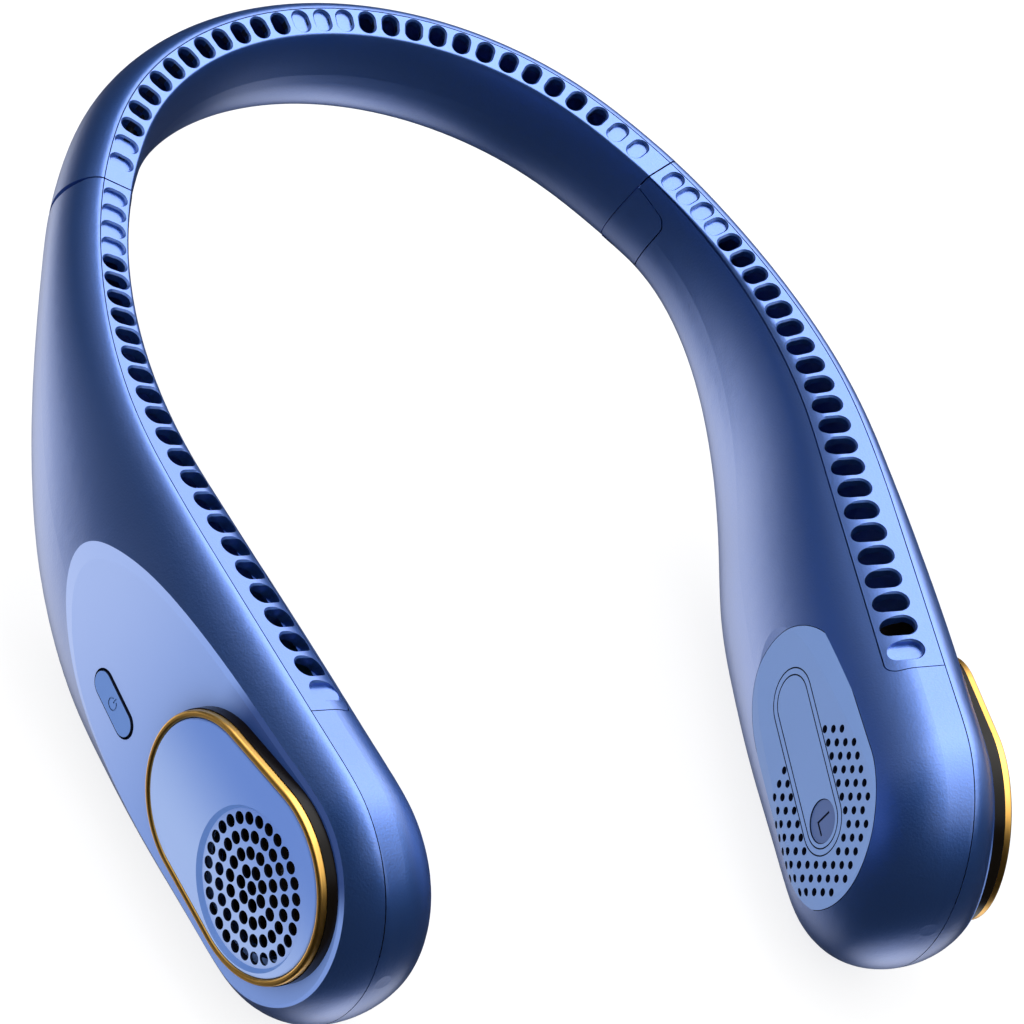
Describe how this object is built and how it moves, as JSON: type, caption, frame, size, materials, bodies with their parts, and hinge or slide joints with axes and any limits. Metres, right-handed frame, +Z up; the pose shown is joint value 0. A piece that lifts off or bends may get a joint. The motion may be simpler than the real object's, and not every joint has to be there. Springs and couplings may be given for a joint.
{
  "type": "neck fan",
  "caption": "Wearable U-shaped neck fan: hinged arms ending in rounded fan pods with drilled intake caps, perforated inner pads and a row of air slots along the top.",
  "frame": {"origin": "centre of the footprint, on the surface the fan pods stand on", "axes": "+Z up, -Y toward the open ends (the wearer's front), +X toward the wearer's left"},
  "size_m": [0.1692, 0.219, 0.0584],
  "materials": {
    "shell": "satin",
    "panel": "satin",
    "inlay": "satin",
    "dark_plastic": "matte",
    "gilt_ring": "polished",
    "magnet": "matte",
    "bronze": "satin",
    "steel": "satin",
    "cell": "satin",
    "board": "satin",
    "wire": "matte"
  },
  "bodies": {
    "neck": {"neck_outer_shell": "shell", "neck_inner_shell": "shell", "neck_wiring": "wire", "left_hinge_flap": "shell", "left_hinge_pin": "steel", "left_neck_hinge_leaf": "steel", "right_hinge_flap": "shell", "right_hinge_pin": "steel", "right_neck_hinge_leaf": "steel"},
    "left_arm": {"left_arm_hinge_leaf": "steel", "left_battery_cell": "cell", "left_cap_ring": "gilt_ring", "left_cap_standoff": "dark_plastic", "left_fan_housing": "dark_plastic", "left_fan_screws": "steel", "left_inner_pad": "panel", "left_inner_shell": "shell", "left_intake_cap": "panel", "left_mark_disc": "inlay", "left_motor_bearing": "bronze", "left_motor_stator": "magnet", "left_outer_shell": "shell", "left_pad_inlay": "inlay", "left_side_panel": "panel", "left_vent_grille": "shell"},
    "right_arm": {"charging_socket": "steel", "control_board": "board", "right_arm_hinge_leaf": "steel", "right_battery_cell": "cell", "right_cap_ring": "gilt_ring", "right_cap_standoff": "dark_plastic", "right_fan_housing": "dark_plastic", "right_fan_screws": "steel", "right_inner_pad": "panel", "right_inner_shell": "shell", "right_intake_cap": "panel", "right_mark_disc": "inlay", "right_motor_bearing": "bronze", "right_motor_stator": "magnet", "right_outer_shell": "shell", "right_pad_inlay": "inlay", "right_side_panel": "panel", "right_vent_grille": "shell", "tact_switch": "dark_plastic"},
    "left_rotor": {"left_impeller": "dark_plastic", "left_magnet_ring": "magnet", "left_motor_shaft": "steel"},
    "right_rotor": {"right_impeller": "dark_plastic", "right_magnet_ring": "magnet", "right_motor_shaft": "steel"},
    "power_button": {"power_button": "panel"}
  },
  "joints": [
    {"name": "left_arm_hinge", "type": "hinge", "parent": "neck", "child": "left_arm", "pos_m": [0.06236, 0.06238, 0.04531], "axis": [0.0858, -0.18, 0.9799], "range_deg": [0, 15]},
    {"name": "right_arm_hinge", "type": "hinge", "parent": "neck", "child": "right_arm", "pos_m": [-0.06236, 0.06238, 0.04531], "axis": [0.0858, 0.18, -0.9799], "range_deg": [0, 15]},
    {"name": "left_impeller_spin", "type": "hinge", "parent": "left_arm", "child": "left_rotor", "pos_m": [0.06283, -0.08374, 0.0309], "axis": [0.9794, -0.1815, 0.0889], "continuous": true},
    {"name": "right_impeller_spin", "type": "hinge", "parent": "right_arm", "child": "right_rotor", "pos_m": [-0.06283, -0.08374, 0.0309], "axis": [-0.9794, -0.1815, 0.0889], "continuous": true},
    {"name": "power_button_press", "type": "slide", "parent": "right_arm", "child": "power_button", "axis": [0.9794, 0.1815, -0.0889], "range_m": [0, 0.0006], "stiffness_N_per_m": 500, "springref_m": -0.0008}
  ]
}
